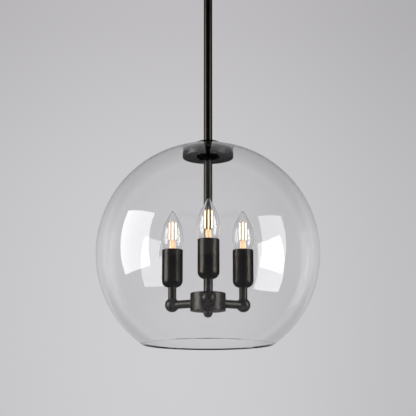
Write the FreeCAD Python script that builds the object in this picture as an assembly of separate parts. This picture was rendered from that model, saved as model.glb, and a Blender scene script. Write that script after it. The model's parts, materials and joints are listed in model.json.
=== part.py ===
import FreeCAD, Part
import math
import os

from FreeCAD import Vector

# Pendant ceiling light. A clear glass globe, open below, hangs on a tube from a round canopy.
# A second tube carries a hub inside the globe, with three arms, each with a socket cup and a
# candle lamp. Millimetres, +Z up. The origin is on the ceiling, on the light's own axis, and
# arm 1 points along -Y. Every piece is a solid of its own, written to parts/ under its name.

# ---------------------------------------------------------------- ceiling plate and canopy
PLATE_R = 52.0
PLATE_T = 2.0
SLOT_SPACING = 79.4          # between the two slots' centres, along X
SLOT_LENGTH = 14.2           # end to end
SLOT_R = 2.3
MAINS_HOLE_R = 8.0
MAINS_HOLE_Y = -20.0
GROUND_SCREW_X = 27.0
GROUND_SCREW_Y = 18.0
CANOPY_R = 63.5
CANOPY_DEPTH = 25.0
CANOPY_WALL = 1.2
CANOPY_CORNER_R = 8.0
STUD_SPACING = 80.0          # between the two studs, along Y
SCREW_R = 1.95               # M4 thread, over its crests
STUD_PROUD = 4.5             # how far a stud reaches below the canopy
CAP_NUT_R = 4.5
CAP_NUT_H = 8.0
NUT_AF = 7.0                 # M4 nut, across its flats
NUT_H = 3.0
BLOCK_W = 18.0               # terminal block
BLOCK_D = 13.0
BLOCK_H = 12.0
BLOCK_Y = 14.0               # its near face
BLOCK_EDGE_R = 1.0

# ---------------------------------------------------------------- swivel under the canopy
YOKE_FLANGE_T = 6.0
YOKE_NECK_ABOVE = 6.5        # threaded neck above the canopy's floor
CHEEK_T = 2.8
CHEEK_HALF_W = 7.0
PIVOT_DROP = 16.0            # from the canopy's underside to the pivot
TONGUE_R = 8.0
TONGUE_DROP = 17.5           # from the pivot to the top of the upper rod
PIVOT_HEAD_R = 3.6
PIVOT_HEAD_T = 1.8
PIVOT_TIP_SHY = 0.5          # the pivots' tips stay this far outside the leads' bore
WASHER_R = 10.0
WASHER_T = 1.0

# ---------------------------------------------------------------- rods and their threads
ROD_R = 7.0
UPPER_ROD = 304.8            # twelve inches
LOWER_ROD = 223.4
NIPPLE_R = 5.0               # M10 hollow thread, over its crests
NIPPLE_BORE_R = 3.5
NIPPLE_GRIP = 12.0           # thread inside a rod
LOCKNUT_AF = 14.0
LOCKNUT_H = 3.0

# ---------------------------------------------------------------- globe and what clamps it
GLOBE_R = 178.0              # fourteen inches across
GLOBE_WALL = 2.5
GLOBE_DRAW_IN = 4.5          # the lower arc's centre stands this far off the axis
GLOBE_WAIST_H = 2.1          # straight band between the upper half and the lower
GLOBE_HOLE_R = 17.0
GLOBE_MOUTH_R = 104.0        # outside, at the rim
HOLDER_R = 41.1
HOLDER_T = 9.5
HOLDER_EDGE_R = 1.2
HOLDER_BOSS_R = 15.0
HOLDER_SINK_GAP = 3.0        # width of the recess round the lower rod
HOLDER_SINK_DEPTH = 3.0
HOLDER_SEAT = 4.5            # seal between the holder's edge and the glass
HOLDER_BOSS_SHY = 1.5        # the boss stops this far below the glass's outer face
SEAL_INNER_R = 32.0
CAP_R = 22.3
CAP_SEAT = 1.1               # seal between the cap and the glass at the cap's edge
CAP_EDGE_T = 2.2
CAP_H = 6.4
CAP_LAND = 0.5               # flat round the upper rod
SEAL_MARGIN = 0.5            # the seals stand this far inside the metal they sit on

# ---------------------------------------------------------------- hub
HUB_R = 28.0
HUB_H = 28.1
HUB_WALL = 3.0
HUB_TOP_T = 2.5
HUB_EDGE_R = 1.2
COVER_T = 2.0
COVER_LEDGE = 1.2
COVER_GAP = 3.0              # between the cover and the strap's lower pad
STRAP_T = 1.5
STRAP_HALF_W = 4.0
STRAP_PLATE_R = 9.0
STRAP_STANDOFF = 4.0         # the leg stands this far outside the plates
CONNECTOR_R = 7.5
CONNECTOR_H = 8.0
CONNECTOR_EDGE = 0.8
FINIAL_R = 7.25
FINIAL_DROP = 10.5
FINIAL_SCREW_R = 2.45        # M5 thread, over its crests

# ---------------------------------------------------------------- arms
ARM_COUNT = 3
ARM_REACH = 66.0             # from the light's axis to a socket's axis
ARM_DROP = 15.0              # from the hub's top to the arms' axes
TUBE_R = 6.65
TUBE_BORE_R = 4.85
SPIGOT_R = 4.0               # M8 thread on a tube's end
SPIGOT_BORE_R = 2.75
SPIGOT_IN_HUB = 8.0          # thread past the hub's outer wall
SPIGOT_STOP = 5.0            # the elbow's centre to a spigot's end
BALL_R = 11.5
BALL_PASSAGE_R = 3.0
SOLID_END = 2.0              # a tube's end is this thick before its bore widens
ARM_NUT_R = 6.5
ARM_NUT_H = 2.5
RISER = 28.4                 # from an arm's axis to the underside of its cup
SPIGOT_IN_CUP = 8.5

# ---------------------------------------------------------------- sockets
CUP_R = 16.8
CUP_H = 61.2
CUP_WALL = 1.2
CUP_FOOT_R = 5.8             # flat of the foot, inside its rounding
HOLDER_BODY_GAP = 2.4        # between the lamp holder and its cup
HOLDER_BODY_H = 48.9
WELL_DEPTH = 24.7
WELL_FLOOR = 2.0             # between the well and the wiring chamber under it
HOLDER_BODY_EDGE = 1.0
CHAMBER_R = 3.6
SHELL_LIFT = 2.5             # the screw shell stops this far above the well's floor
SHELL_WALL = 0.5
SHELL_FIT = 0.3              # between the lamp's thread and the screw shell
CONTACT_T = 0.5
CONTACT_HALF_W = 2.0
CONTACT_FOOT = 5.0           # the foot's reach from the lamp's axis
CONTACT_GAP = 0.1

# ---------------------------------------------------------------- candle lamp, E14 base
LAMP_LENGTH = 98.0
LAMP_R = 17.5
LAMP_WIDEST = 54.1           # height of the widest part above the contact
LAMP_NECK_R = 8.0
LAMP_SEAT = 23.3             # height of the glass's foot above the contact
LAMP_WALL = 0.8
BASE_R = 6.9                 # E14 thread, over its crests
BASE_PITCH = 2.82
BASE_GROOVE = 0.6
BASE_WALL = 0.6
BASE_FLOOR = 1.0
BASE_PLAIN = 1.0             # at least this much plain shell above the rolled rings
COLLAR_WALL = 0.55
COLLAR_H = 4.0
COLLAR_FLOOR = 0.6
COLLAR_LIFT = 0.3            # the collar stands this far above the lamp holder
BUTTON_R = 2.6
BUTTON_T = 1.5
BUTTON_EDGE_R = 0.4
INSULATOR_T = 2.2
INSULATOR_LEDGE = 0.6        # the insulator stands this far out round the button
STEM_TOP = 51.0              # glass stem's top above the contact
STEM_R = 2.4
STEM_EDGE = 1.0
FLARE_LIFT = 1.0             # the stem's flare stands this far above the glass's foot
FLARE_T = 1.0
FLARE_H = 12.0               # from the flare's underside to the plain stem
FILAMENT_R = 0.9
FILAMENT_L = 27.5
FILAMENT_RING_R = 5.2
FILAMENT_COUNT = 4
STAR_T = 0.5
STAR_HALF_W = 0.5

# ---------------------------------------------------------------- leads and clearances
LEAD_R = 0.95
LEAD_PITCH = 2.1
LEAD_BEND_R = 8.0
ARM_LEAD_R = 0.8
ARM_LEAD_PITCH = 2.4
ARM_LEAD_BEND_R = 7.0
ARM_LEAD_PAST = 4.0          # the arms' leads end this far above the risers' threads
LEAD_STOP = 1.0              # the upper leads stop this far above the knuckle
LEAD_TIP = 6.0               # the lower leads end this far above the pivot
FIT = 0.1                    # radial clearance round a thread or a spigot
RUNNING_FIT = 0.05           # radial clearance of a pivot
SLIDE_GAP = 0.2              # between the tongue and each cheek

# ---------------------------------------------------------------- levels that follow
PLATE_BOTTOM = -PLATE_T
CANOPY_BOTTOM = -CANOPY_DEPTH
CANOPY_FLOOR = CANOPY_BOTTOM + CANOPY_WALL
PIVOT_Z = CANOPY_BOTTOM - PIVOT_DROP
ROD_TOP = PIVOT_Z - TONGUE_DROP
CAP_TOP = ROD_TOP - UPPER_ROD
CAP_UNDER = CAP_TOP - CAP_H
DOME_Z = CAP_UNDER - CAP_SEAT - math.sqrt(GLOBE_R ** 2 - CAP_R ** 2)
GLOBE_Z = DOME_Z - GLOBE_WAIST_H
GLOBE_IN_R = GLOBE_R - GLOBE_WALL
ROD_BORE_R = NIPPLE_R + FIT
YOKE_R = TONGUE_R + SLIDE_GAP + CHEEK_T
CAP_FLAT_R = ROD_R + CAP_LAND
HOLDER_SINK_R = ROD_R + HOLDER_SINK_GAP
CUP_CORNER_R = CUP_R - CUP_FOOT_R
HOLDER_BODY_R = CUP_R - CUP_WALL - HOLDER_BODY_GAP
HOLDER_TOP = DOME_Z + math.sqrt(GLOBE_IN_R ** 2 - HOLDER_R ** 2) - HOLDER_SEAT
HOLDER_BOTTOM = HOLDER_TOP - HOLDER_T
LOWER_ROD_TOP = HOLDER_BOTTOM + HOLDER_SINK_DEPTH
HUB_TOP = LOWER_ROD_TOP - LOWER_ROD
HUB_BOTTOM = HUB_TOP - HUB_H
HUB_CEILING = HUB_TOP - HUB_TOP_T
HUB_IN_R = HUB_R - HUB_WALL
ARM_Z = HUB_TOP - ARM_DROP
STRAP_FLOOR = HUB_BOTTOM + COVER_T + COVER_GAP
CONNECTOR_TOP = STRAP_FLOOR + STRAP_T + CONNECTOR_H
CUP_BOTTOM = ARM_Z + RISER
CUP_FLOOR = CUP_BOTTOM + CUP_WALL
LAMP_HOLDER_TOP = CUP_FLOOR + HOLDER_BODY_H
LAMP_FOOT = LAMP_HOLDER_TOP + COLLAR_LIFT + COLLAR_FLOOR - LAMP_SEAT
SHELL_R = BASE_R + SHELL_FIT
TURN = 360.0 / ARM_COUNT

CLEAR = 1.0                  # how far a cutting tool runs past the face it cuts
UP = Vector(0, 0, 1)
ORIGIN = Vector(0, 0, 0)


# ================================================================ small helpers
class Outline:
    """A closed half-section in the XZ plane, drawn edge by edge and turned round Z."""

    def __init__(self, r, z):
        self.start = Vector(r, 0, z)
        self.here = self.start
        self.edges = []

    def line(self, r, z):
        there = Vector(r, 0, z)
        if there.distanceToPoint(self.here) > 1e-6:
            self.edges.append(Part.LineSegment(self.here, there).toShape())
            self.here = there
        return self

    def arc(self, via_r, via_z, r, z):
        there = Vector(r, 0, z)
        self.edges.append(Part.Arc(self.here, Vector(via_r, 0, via_z), there).toShape())
        self.here = there
        return self

    def round(self, centre_r, centre_z, r, z):
        """An arc to (r, z) about a centre, the short way round."""
        middle = Vector((self.here.x + r) / 2, 0, (self.here.z + z) / 2)
        centre = Vector(centre_r, 0, centre_z)
        radius = self.here.distanceToPoint(centre)
        via = centre + (middle - centre).normalize() * radius
        return self.arc(via.x, via.z, r, z)

    def smooth(self, points, first, last):
        """One smooth curve through the points, leaving and arriving along two directions."""
        curve = Part.BSplineCurve()
        places = [self.here] + [Vector(r, 0, z) for r, z in points]
        curve.interpolate(Points=places, InitialTangent=Vector(first[0], 0, first[1]),
                          FinalTangent=Vector(last[0], 0, last[1]))
        self.edges.append(curve.toShape())
        self.here = places[-1]
        return self

    def turned(self):
        self.line(self.start.x, self.start.z)
        face = Part.Face(Part.Wire(self.edges))
        return as_solid(face.revolve(ORIGIN, UP, 360))


def as_solid(shape):
    """The one solid in a shape, facing outwards."""
    solid = shape.Solids[0] if shape.Solids else Part.Solid(shape.Shells[0])
    if solid.Volume < 0:
        solid.reverse()
    return solid


def rod(radius, low, high, x=0.0, y=0.0):
    return Part.makeCylinder(radius, high - low, Vector(x, y, low))


def tube(radius, bore, low, high, x=0.0, y=0.0):
    return rod(radius, low, high, x, y).cut(rod(bore, low - CLEAR, high + CLEAR, x, y))


def box(low, high):
    size = Vector(*high) - Vector(*low)
    return Part.makeBox(size.x, size.y, size.z, Vector(*low))


def along_x(radius, low, high, y, z):
    return Part.makeCylinder(radius, high - low, Vector(low, y, z), Vector(1, 0, 0))


def along_y(radius, low, high, x, z):
    return Part.makeCylinder(radius, high - low, Vector(x, low, z), Vector(0, 1, 0))


def hexagon(across_flats, low, high, x=0.0, y=0.0):
    reach = across_flats / math.sqrt(3)
    corners = [Vector(x + reach * math.cos(math.radians(60 * k)),
                      y + reach * math.sin(math.radians(60 * k)), low) for k in range(7)]
    return Part.Face(Part.makePolygon(corners)).extrude(Vector(0, 0, high - low))


def slot(x, low, high):
    """A slot of SLOT_LENGTH along X, centred on x."""
    run = SLOT_LENGTH / 2 - SLOT_R
    middle = box((x - run, -SLOT_R, low), (x + run, SLOT_R, high))
    return middle.fuse([rod(SLOT_R, low, high, x - run), rod(SLOT_R, low, high, x + run)])


def lead(points_and_bend, radius):
    """A round wire: straight, one bend, straight. Takes start, corner, end and bend radius."""
    start, corner, end, bend = points_and_bend
    into = (corner - start).normalize()
    out = (end - corner).normalize()
    before = corner - into * bend
    after = corner + out * bend
    centre = before + out * bend
    middle = centre + (corner - centre).normalize() * bend
    path = Part.Wire([Part.LineSegment(start, before).toShape(),
                      Part.Arc(before, middle, after).toShape(),
                      Part.LineSegment(after, end).toShape()])
    section = Part.Wire(Part.Circle(start, into, radius).toShape())
    return as_solid(path.makePipeShell([section], True, False))


def on_arm(shape, index):
    """A copy of what is drawn for arm 1, turned to arm index."""
    copy = shape.copy()
    copy.rotate(ORIGIN, UP, TURN * (index - 1))
    return copy


def sphere(radius, z, x=0.0, y=0.0):
    return Part.makeSphere(radius, Vector(x, y, z))


# ================================================================ ceiling side
def ceiling_plate():
    plate = rod(PLATE_R, PLATE_BOTTOM, 0)
    holes = [slot(side * SLOT_SPACING / 2, PLATE_BOTTOM - CLEAR, CLEAR) for side in (-1, 1)]
    holes += [rod(SCREW_R + RUNNING_FIT, PLATE_BOTTOM - CLEAR, CLEAR, 0, side * STUD_SPACING / 2)
              for side in (-1, 1)]
    holes.append(rod(MAINS_HOLE_R, PLATE_BOTTOM - CLEAR, CLEAR, 0, MAINS_HOLE_Y))
    holes.append(rod(SCREW_R + RUNNING_FIT, PLATE_BOTTOM - CLEAR, CLEAR, GROUND_SCREW_X, GROUND_SCREW_Y))
    return plate.cut(holes)


def ground_screw():
    head = hexagon(NUT_AF, PLATE_BOTTOM - NUT_H, PLATE_BOTTOM, GROUND_SCREW_X, GROUND_SCREW_Y)
    shank = rod(SCREW_R, PLATE_BOTTOM, 0, GROUND_SCREW_X, GROUND_SCREW_Y)
    return head.fuse(shank).removeSplitter()


def canopy_studs():
    low = CANOPY_BOTTOM - STUD_PROUD
    return [rod(SCREW_R, low, 0, 0, side * STUD_SPACING / 2) for side in (-1, 1)]


def stud_locknuts():
    bore = SCREW_R + RUNNING_FIT
    nuts = []
    for side in (-1, 1):
        y = side * STUD_SPACING / 2
        nut = hexagon(NUT_AF, PLATE_BOTTOM - NUT_H, PLATE_BOTTOM, 0, y)
        nuts.append(nut.cut(rod(bore, PLATE_BOTTOM - NUT_H - CLEAR, 0, 0, y)))
    return nuts


def canopy():
    """A spun dish, open towards the ceiling."""
    corner_in = CANOPY_CORNER_R - CANOPY_WALL
    flat = CANOPY_R - CANOPY_CORNER_R
    corner_z = CANOPY_BOTTOM + CANOPY_CORNER_R
    hole = NIPPLE_R + FIT
    dish = Outline(hole, CANOPY_BOTTOM).line(flat, CANOPY_BOTTOM)
    dish.round(flat, corner_z, CANOPY_R, corner_z).line(CANOPY_R, 0)
    dish.line(CANOPY_R - CANOPY_WALL, 0).line(CANOPY_R - CANOPY_WALL, corner_z)
    dish.round(flat, corner_z, flat, corner_z - corner_in).line(hole, CANOPY_FLOOR)
    holes = [rod(SCREW_R + FIT, CANOPY_BOTTOM - CLEAR, CANOPY_FLOOR + CLEAR, 0, side * STUD_SPACING / 2)
             for side in (-1, 1)]
    return dish.turned().cut(holes)


def canopy_nuts():
    """Domed cap nuts that hold the canopy up on the studs."""
    top = CANOPY_BOTTOM
    dome_z = top - CAP_NUT_H + CAP_NUT_R
    dip = CAP_NUT_R * math.sin(math.radians(45))
    bore = SCREW_R + RUNNING_FIT
    nut = Outline(bore, top).line(CAP_NUT_R, top).line(CAP_NUT_R, dome_z)
    nut.arc(dip, dome_z - dip, 0, top - CAP_NUT_H)
    nut.line(0, top - STUD_PROUD - FIT).line(bore, top - STUD_PROUD - FIT)
    shape = nut.turned()
    return [shape.translated(Vector(0, side * STUD_SPACING / 2, 0)) for side in (-1, 1)]


def terminal_block():
    block = box((-BLOCK_W / 2, BLOCK_Y, PLATE_BOTTOM - BLOCK_H),
                (BLOCK_W / 2, BLOCK_Y + BLOCK_D, PLATE_BOTTOM))
    upright = [edge for edge in block.Edges if abs(edge.tangentAt(edge.FirstParameter).z) > 0.9]
    return block.makeFillet(BLOCK_EDGE_R, upright)


def canopy_leads():
    """Three wires from above the knuckle, up through the neck, to the terminal block."""
    run_z = CANOPY_FLOOR + YOKE_NECK_ABOVE + LEAD_BEND_R
    wires = []
    for k in (-1, 0, 1):
        x = k * LEAD_PITCH
        wires.append(lead((Vector(x, 0, PIVOT_Z + TONGUE_R + LEAD_STOP), Vector(x, 0, run_z),
                           Vector(x, BLOCK_Y, run_z), LEAD_BEND_R), LEAD_R))
    return wires


# ================================================================ swivel
def swivel_yoke():
    """Flange, threaded neck and two cheeks, with a way through for the leads."""
    flange_low = CANOPY_BOTTOM - YOKE_FLANGE_T
    yoke = rod(YOKE_R, flange_low, CANOPY_BOTTOM)
    yoke = yoke.fuse(rod(NIPPLE_R, CANOPY_BOTTOM, CANOPY_FLOOR + YOKE_NECK_ABOVE))
    inner = TONGUE_R + SLIDE_GAP
    for side in (-1, 1):
        low, high = sorted((side * inner, side * (inner + CHEEK_T)))
        cheek = box((low, -CHEEK_HALF_W, PIVOT_Z), (high, CHEEK_HALF_W, flange_low))
        cheek = cheek.fuse(along_x(CHEEK_HALF_W, low, high, 0, PIVOT_Z))
        yoke = yoke.fuse(cheek)
    reach = inner + CHEEK_T + CLEAR
    yoke = yoke.cut([rod(NIPPLE_BORE_R, flange_low - CLEAR, 0),
                     along_x(SCREW_R + RUNNING_FIT, -reach, reach, 0, PIVOT_Z)])
    return yoke.removeSplitter()


def yoke_washer():
    return tube(WASHER_R, NIPPLE_R + FIT, CANOPY_FLOOR, CANOPY_FLOOR + WASHER_T)


def yoke_locknut():
    low = CANOPY_FLOOR + WASHER_T
    return hexagon(LOCKNUT_AF, low, low + LOCKNUT_H).cut(rod(NIPPLE_R + RUNNING_FIT, low - CLEAR, 0))


def pivot_screws():
    """Two short shoulder screws, so that the leads pass between their tips."""
    face = TONGUE_R + SLIDE_GAP + CHEEK_T
    tip = NIPPLE_BORE_R + PIVOT_TIP_SHY
    screws = []
    for side in (-1, 1):
        shank = along_x(SCREW_R, *sorted((side * tip, side * face)), 0, PIVOT_Z)
        head = along_x(PIVOT_HEAD_R, *sorted((side * face, side * (face + PIVOT_HEAD_T))), 0, PIVOT_Z)
        screws.append(shank.fuse(head).removeSplitter())
    return screws


# ================================================================ stem
def swivel_tongue():
    """The knuckle: round-topped, bored for the leads, with a threaded spigot for the rod."""
    knuckle = rod(TONGUE_R, ROD_TOP, PIVOT_Z).fuse(sphere(TONGUE_R, PIVOT_Z))
    knuckle = knuckle.fuse(rod(NIPPLE_R, ROD_TOP - NIPPLE_GRIP, ROD_TOP))
    knuckle = knuckle.removeSplitter()
    through = rod(NIPPLE_BORE_R, ROD_TOP - NIPPLE_GRIP - CLEAR, PIVOT_Z + TONGUE_R + CLEAR)
    cross = along_x(SCREW_R + RUNNING_FIT, -TONGUE_R - CLEAR, TONGUE_R + CLEAR, 0, PIVOT_Z)
    return knuckle.cut([through, cross])


def upper_rod():
    return tube(ROD_R, ROD_BORE_R, CAP_TOP, ROD_TOP)


def rod_nipple():
    return tube(NIPPLE_R, NIPPLE_BORE_R, LOWER_ROD_TOP - NIPPLE_GRIP, CAP_TOP + NIPPLE_GRIP)


def glass_cap():
    """A low dome that sits on the globe round the rod."""
    edge_z = CAP_UNDER + CAP_EDGE_T
    rise = CAP_TOP - edge_z
    reach = CAP_R - CAP_FLAT_R
    radius = (rise ** 2 + reach ** 2) / (2 * rise)
    bore = NIPPLE_R + FIT
    dome = Outline(bore, CAP_UNDER).line(CAP_R, CAP_UNDER).line(CAP_R, edge_z)
    dome.round(CAP_FLAT_R, CAP_TOP - radius, CAP_FLAT_R, CAP_TOP).line(bore, CAP_TOP)
    return dome.turned()


def cap_gasket():
    ring = tube(CAP_R - SEAL_MARGIN, GLOBE_HOLE_R + SEAL_MARGIN,
                CAP_UNDER - 2 * CAP_SEAT, CAP_UNDER)
    return ring.cut(sphere(GLOBE_R, DOME_Z))


def glass_shade():
    """The globe: half a sphere, a short waist, then drawn in a little, with a rounded rim."""
    low_r = GLOBE_R - GLOBE_DRAW_IN
    rim = GLOBE_MOUTH_R - GLOBE_WALL / 2
    rim_drop = math.sqrt((low_r - GLOBE_WALL / 2) ** 2 - (rim - GLOBE_DRAW_IN) ** 2)
    lean = math.atan2(rim_drop, rim - GLOBE_DRAW_IN)

    def low_point(radius, angle):
        return (GLOBE_DRAW_IN + radius * math.cos(angle), GLOBE_Z - radius * math.sin(angle))

    def top_point(radius):
        return (GLOBE_HOLE_R, DOME_Z + math.sqrt(radius ** 2 - GLOBE_HOLE_R ** 2))

    low_in = low_r - GLOBE_WALL
    half = math.radians(45)
    glass = Outline(*top_point(GLOBE_R))
    glass.arc(GLOBE_R * math.cos(half), DOME_Z + GLOBE_R * math.sin(half), GLOBE_R, DOME_Z)
    glass.line(GLOBE_R, GLOBE_Z)
    glass.arc(*low_point(low_r, lean / 2), *low_point(low_r, lean))
    tip_r = rim + GLOBE_WALL / 2 * math.cos(lean + math.pi / 2)
    tip_z = GLOBE_Z - rim_drop - GLOBE_WALL / 2 * math.sin(lean + math.pi / 2)
    glass.arc(tip_r, tip_z, *low_point(low_in, lean))
    glass.arc(*low_point(low_in, lean / 2), GLOBE_IN_R, GLOBE_Z).line(GLOBE_IN_R, DOME_Z)
    glass.arc(GLOBE_IN_R * math.cos(half), DOME_Z + GLOBE_IN_R * math.sin(half),
              *top_point(GLOBE_IN_R))
    return glass.turned()


def holder_gasket():
    ring = tube(HOLDER_R - SEAL_MARGIN, SEAL_INNER_R, HOLDER_TOP, HOLDER_TOP + 2 * HOLDER_SEAT)
    return ring.common(sphere(GLOBE_IN_R, DOME_Z))


def glass_holder():
    """The disc that carries the globe from inside, with a boss that centres the glass."""
    edge = HOLDER_EDGE_R
    boss_top = DOME_Z + math.sqrt(GLOBE_R ** 2 - GLOBE_HOLE_R ** 2) - HOLDER_BOSS_SHY
    bore = NIPPLE_R + FIT
    sink_z = HOLDER_BOTTOM + HOLDER_SINK_DEPTH
    disc = Outline(HOLDER_SINK_R, HOLDER_BOTTOM).line(HOLDER_R - edge, HOLDER_BOTTOM)
    disc.round(HOLDER_R - edge, HOLDER_BOTTOM + edge, HOLDER_R, HOLDER_BOTTOM + edge)
    disc.line(HOLDER_R, HOLDER_TOP - edge)
    disc.round(HOLDER_R - edge, HOLDER_TOP - edge, HOLDER_R - edge, HOLDER_TOP)
    disc.line(HOLDER_BOSS_R, HOLDER_TOP).line(HOLDER_BOSS_R, boss_top).line(bore, boss_top)
    disc.line(bore, sink_z).line(HOLDER_SINK_R, sink_z)
    return disc.turned()


def lower_rod():
    return tube(ROD_R, ROD_BORE_R, HUB_TOP, LOWER_ROD_TOP)


def supply_leads():
    """Three wires down both rods, from the knuckle to the connector in the hub."""
    return [rod(LEAD_R, CONNECTOR_TOP, PIVOT_Z + LEAD_TIP, k * LEAD_PITCH) for k in (-1, 0, 1)]


# ================================================================ hub
def arm_holes(radius):
    return [on_arm(along_y(radius, -HUB_R - CLEAR, -HUB_IN_R + HUB_WALL, 0, ARM_Z), n + 1)
            for n in range(ARM_COUNT)]


def hub_shell():
    """A turned drum, open below, drilled for the arms and for the nipple above."""
    edge = HUB_EDGE_R
    ledge_z = HUB_BOTTOM + COVER_T
    seat = HUB_IN_R + COVER_LEDGE
    bore = NIPPLE_R + FIT
    drum = Outline(seat, HUB_BOTTOM).line(HUB_R - edge / 2, HUB_BOTTOM)
    drum.round(HUB_R - edge / 2, HUB_BOTTOM + edge / 2, HUB_R, HUB_BOTTOM + edge / 2)
    drum.line(HUB_R, HUB_TOP - edge).round(HUB_R - edge, HUB_TOP - edge, HUB_R - edge, HUB_TOP)
    drum.line(bore, HUB_TOP).line(bore, HUB_CEILING).line(HUB_IN_R, HUB_CEILING)
    drum.line(HUB_IN_R, ledge_z).line(seat, ledge_z)
    return drum.turned().cut(arm_holes(SPIGOT_R + FIT))


def hub_nipple():
    low = HUB_CEILING - STRAP_T - LOCKNUT_H
    return tube(NIPPLE_R, NIPPLE_BORE_R, low, HUB_TOP + NIPPLE_GRIP)


def hub_locknut():
    high = HUB_CEILING - STRAP_T
    nut = hexagon(LOCKNUT_AF, high - LOCKNUT_H, high)
    return nut.cut(rod(NIPPLE_R + RUNNING_FIT, high - LOCKNUT_H - CLEAR, high + CLEAR))


def cover_strap():
    """A C-shaped strap from the nipple down past the connector, for the finial's screw."""
    top = rod(STRAP_PLATE_R, HUB_CEILING - STRAP_T, HUB_CEILING)
    bottom = rod(STRAP_PLATE_R, STRAP_FLOOR, STRAP_FLOOR + STRAP_T)
    out = STRAP_PLATE_R + STRAP_STANDOFF
    leg = box((-STRAP_HALF_W, out - STRAP_T, STRAP_FLOOR), (STRAP_HALF_W, out, HUB_CEILING))
    pads = [box((-STRAP_HALF_W, 0, low), (STRAP_HALF_W, out, low + STRAP_T))
            for low in (STRAP_FLOOR, HUB_CEILING - STRAP_T)]
    strap = top.fuse([bottom, leg] + pads).removeSplitter()
    return strap.cut([rod(NIPPLE_R + FIT, HUB_CEILING - STRAP_T - CLEAR, HUB_TOP),
                      rod(FINIAL_SCREW_R + FIT, HUB_BOTTOM, STRAP_FLOOR + STRAP_T + CLEAR)])


def hub_connector():
    """A round push-in connector that joins the supply leads to the arms' leads."""
    low = STRAP_FLOOR + STRAP_T
    edge = CONNECTOR_EDGE
    body = Outline(0, low).line(CONNECTOR_R, low).line(CONNECTOR_R, CONNECTOR_TOP - edge)
    body.line(CONNECTOR_R - edge, CONNECTOR_TOP).line(0, CONNECTOR_TOP)
    return body.turned()


def hub_cover():
    radius = HUB_IN_R + COVER_LEDGE - FIT
    cover = rod(radius, HUB_BOTTOM, HUB_BOTTOM + COVER_T)
    return cover.cut(rod(FINIAL_SCREW_R + FIT, HUB_BOTTOM - CLEAR, HUB_BOTTOM + COVER_T + CLEAR))


def hub_finial():
    """A domed knob whose screw holds the cover to the strap."""
    straight = FINIAL_DROP - FINIAL_R
    screw_top = STRAP_FLOOR + STRAP_T
    dome_z = HUB_BOTTOM - straight
    dip = FINIAL_R * math.sin(math.radians(45))
    knob = Outline(0, screw_top).line(FINIAL_SCREW_R, screw_top).line(FINIAL_SCREW_R, HUB_BOTTOM)
    knob.line(FINIAL_R, HUB_BOTTOM).line(FINIAL_R, dome_z)
    knob.arc(dip, dome_z - dip, 0, HUB_BOTTOM - FINIAL_DROP)
    return knob.turned()


# ================================================================ arms and sockets
def arm_tube(index):
    """From the hub to the elbow: its ends are cut to fit the drum and the ball."""
    start = -HUB_R + SPIGOT_IN_HUB
    body = along_y(TUBE_R, -ARM_REACH, -HUB_IN_R, 0, ARM_Z)
    body = body.cut([rod(HUB_R, HUB_BOTTOM - CLEAR, HUB_TOP + CLEAR), sphere(BALL_R, ARM_Z, 0, -ARM_REACH)])
    spigot = along_y(SPIGOT_R, -ARM_REACH + SPIGOT_STOP, start, 0, ARM_Z)
    bore = along_y(SPIGOT_BORE_R, -ARM_REACH, start + CLEAR, 0, ARM_Z)
    wide = along_y(TUBE_BORE_R, -ARM_REACH + BALL_R + SOLID_END, -HUB_R - SOLID_END, 0, ARM_Z)
    tube_end = body.fuse(spigot).removeSplitter().cut([bore, wide])
    return on_arm(as_solid(tube_end), index)


def arm_locknuts():
    outer = math.sqrt(HUB_IN_R ** 2 - ARM_NUT_R ** 2) - RUNNING_FIT
    nut = along_y(ARM_NUT_R, -outer, -outer + ARM_NUT_H, 0, ARM_Z)
    nut = nut.cut(along_y(SPIGOT_R + RUNNING_FIT, -outer - CLEAR, 0, 0, ARM_Z))
    return [on_arm(nut, n + 1) for n in range(ARM_COUNT)]


def elbow_ball(index):
    """A drilled ball that turns the arm up into its riser."""
    y = -ARM_REACH
    ball = sphere(BALL_R, ARM_Z, 0, y)
    ball = ball.cut([along_y(SPIGOT_R + FIT, y + SPIGOT_STOP, y + BALL_R + CLEAR, 0, ARM_Z),
                     rod(SPIGOT_R + FIT, ARM_Z + SPIGOT_STOP, ARM_Z + BALL_R + CLEAR, 0, y),
                     along_y(BALL_PASSAGE_R, y, y + BALL_R, 0, ARM_Z),
                     rod(BALL_PASSAGE_R, ARM_Z, ARM_Z + BALL_R, 0, y),
                     sphere(BALL_PASSAGE_R, ARM_Z, 0, y)])
    return on_arm(as_solid(ball), index)


def riser_tube(index):
    y = -ARM_REACH
    body = rod(TUBE_R, ARM_Z + SPIGOT_STOP, CUP_BOTTOM, 0, y).cut(sphere(BALL_R, ARM_Z, 0, y))
    spigot = rod(SPIGOT_R, ARM_Z + SPIGOT_STOP, CUP_BOTTOM + SPIGOT_IN_CUP, 0, y)
    bore = rod(SPIGOT_BORE_R, ARM_Z, CUP_BOTTOM + SPIGOT_IN_CUP + CLEAR, 0, y)
    wide = rod(TUBE_BORE_R, ARM_Z + BALL_R + SOLID_END, CUP_BOTTOM - SOLID_END, 0, y)
    return on_arm(as_solid(body.fuse(spigot).removeSplitter().cut([bore, wide])), index)


def socket_cup(index):
    """A deep drawn cup with a rounded foot."""
    corner = CUP_CORNER_R
    flat = CUP_R - corner
    low = CUP_BOTTOM
    top = low + CUP_H
    hole = SPIGOT_R + FIT
    lip = CUP_WALL / 2
    cup = Outline(hole, low).line(flat, low).round(flat, low + corner, CUP_R, low + corner)
    cup.line(CUP_R, top - lip).arc(CUP_R - lip, top, CUP_R - CUP_WALL, top - lip)
    cup.line(CUP_R - CUP_WALL, low + corner)
    cup.round(flat, low + corner, flat, CUP_FLOOR).line(hole, CUP_FLOOR)
    shape = cup.turned()
    shape.translate(Vector(0, -ARM_REACH, 0))
    return on_arm(shape, index)


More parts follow.
